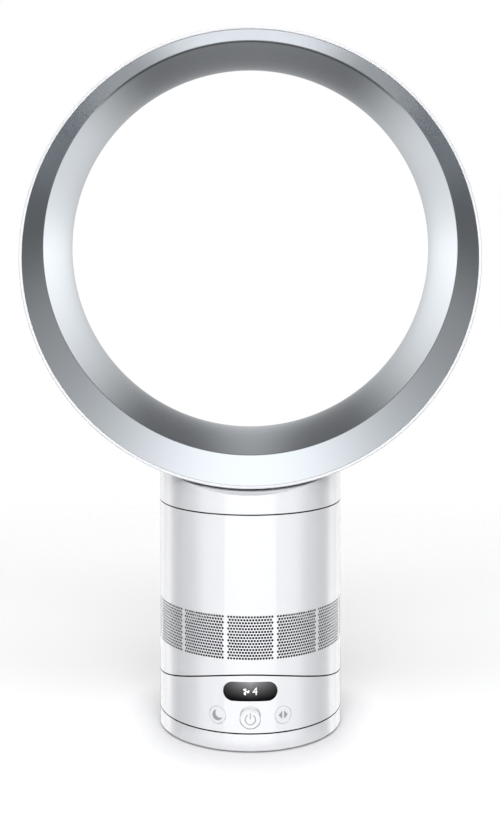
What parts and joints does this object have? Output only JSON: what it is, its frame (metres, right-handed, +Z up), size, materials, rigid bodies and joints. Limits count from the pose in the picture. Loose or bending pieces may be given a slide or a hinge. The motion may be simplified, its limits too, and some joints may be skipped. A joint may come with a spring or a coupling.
{
  "type": "bladeless fan",
  "caption": "Bladeless desk fan: a hollow ring with an air slot on a tilting, swinging column with an inlet grille.",
  "frame": {"origin": "centre of the foot's underside, on the table", "axes": "+Z up, the column's axis; the ring blows towards -Y; +X to the right seen from the front"},
  "size_m": [0.356, 0.146, 0.5531],
  "materials": {
    "white_plastic": "gloss",
    "silver": "satin",
    "display_glass": "gloss",
    "grey_plastic": "matte",
    "black_plastic": "matte",
    "rubber": "matte",
    "steel": "satin",
    "copper": "satin",
    "board": "satin",
    "acetal": "satin",
    "foam": "matte"
  },
  "bodies": {
    "foot": {"foot_shell": "white_plastic", "foot_plate": "black_plastic", "foot_pad": "rubber", "weight_plate": "steel", "swivel_spindle": "steel", "swivel_washer": "acetal", "sun_gear": "acetal", "spindle_clip": "steel", "cord_gland": "rubber", "foot_screws": "steel"},
    "base": {"base_shell": "white_plastic", "turntable": "grey_plastic", "tilt_cradle": "grey_plastic", "display_window": "display_glass", "display_module": "black_plastic", "display_board": "board", "ir_receiver": "black_plastic", "control_board": "board", "tact_switches": "black_plastic", "power_board": "board", "swing_motor": "steel", "motor_bracket": "steel", "base_screws": "steel"},
    "pinion": {"swing_pinion": "acetal"},
    "power_button": {"power_button": "white_plastic"},
    "sleep_button": {"sleep_button": "white_plastic"},
    "swing_button": {"swing_button": "white_plastic"},
    "body": {"body_casing": "white_plastic", "inlet_grille": "white_plastic", "tilt_shoe": "grey_plastic", "tilt_keepers": "acetal", "silencer_foam": "foam", "shroud_mounts": "rubber", "impeller_shroud": "grey_plastic", "diffuser": "grey_plastic", "motor_bucket_lower": "grey_plastic", "motor_bucket_upper": "grey_plastic", "stator": "steel", "stator_coils": "copper", "motor_bearings": "steel", "driver_board": "board", "bayonet_collar": "grey_plastic", "neck_seal": "rubber", "body_screws": "steel"},
    "rotor": {"impeller": "black_plastic", "rotor_shaft": "steel", "rotor_magnet": "black_plastic"},
    "nozzle": {"neck_collar": "white_plastic", "duct_seal": "rubber", "ring_shell": "white_plastic", "ring_back": "white_plastic", "ring_inner_casing": "silver", "ring_taper": "silver", "slot_spacers": "silver", "rim_seal": "rubber", "flow_splitter": "grey_plastic", "ring_screws": "steel"}
  },
  "joints": [
    {"name": "swing", "type": "hinge", "parent": "foot", "child": "base", "pos_m": [0, 0, 0.0145], "axis": [0, 0, 1], "range_deg": [-45, 45]},
    {"name": "pinion_spin", "type": "hinge", "parent": "base", "child": "pinion", "pos_m": [0, 0.0325, 0.02], "axis": [0, 0, 1], "range_deg": [-181, 181]},
    {"name": "tilt", "type": "hinge", "parent": "base", "child": "body", "pos_m": [0, 0, 0.2252], "axis": [1, 0, 0], "range_deg": [-10, 10]},
    {"name": "impeller_spin", "type": "hinge", "parent": "body", "child": "rotor", "pos_m": [0, 0, 0.13], "axis": [0, 0, 1], "continuous": true},
    {"name": "nozzle_twist", "type": "hinge", "parent": "body", "child": "nozzle", "pos_m": [0, 0, 0.18], "axis": [0, 0, 1], "range_deg": [0, 20]},
    {"name": "power_button_press", "type": "slide", "parent": "base", "child": "power_button", "axis": [0, 1, 0], "range_m": [0, 0.001], "stiffness_N_per_m": 400},
    {"name": "sleep_button_press", "type": "slide", "parent": "base", "child": "sleep_button", "axis": [0.342, 0.9397, 0], "range_m": [0, 0.001], "stiffness_N_per_m": 400},
    {"name": "swing_button_press", "type": "slide", "parent": "base", "child": "swing_button", "axis": [-0.342, 0.9397, 0], "range_m": [0, 0.001], "stiffness_N_per_m": 400}
  ],
  "couplings": [
    {"joint": "pinion_spin", "follows": "swing", "ratio": 4}
  ]
}
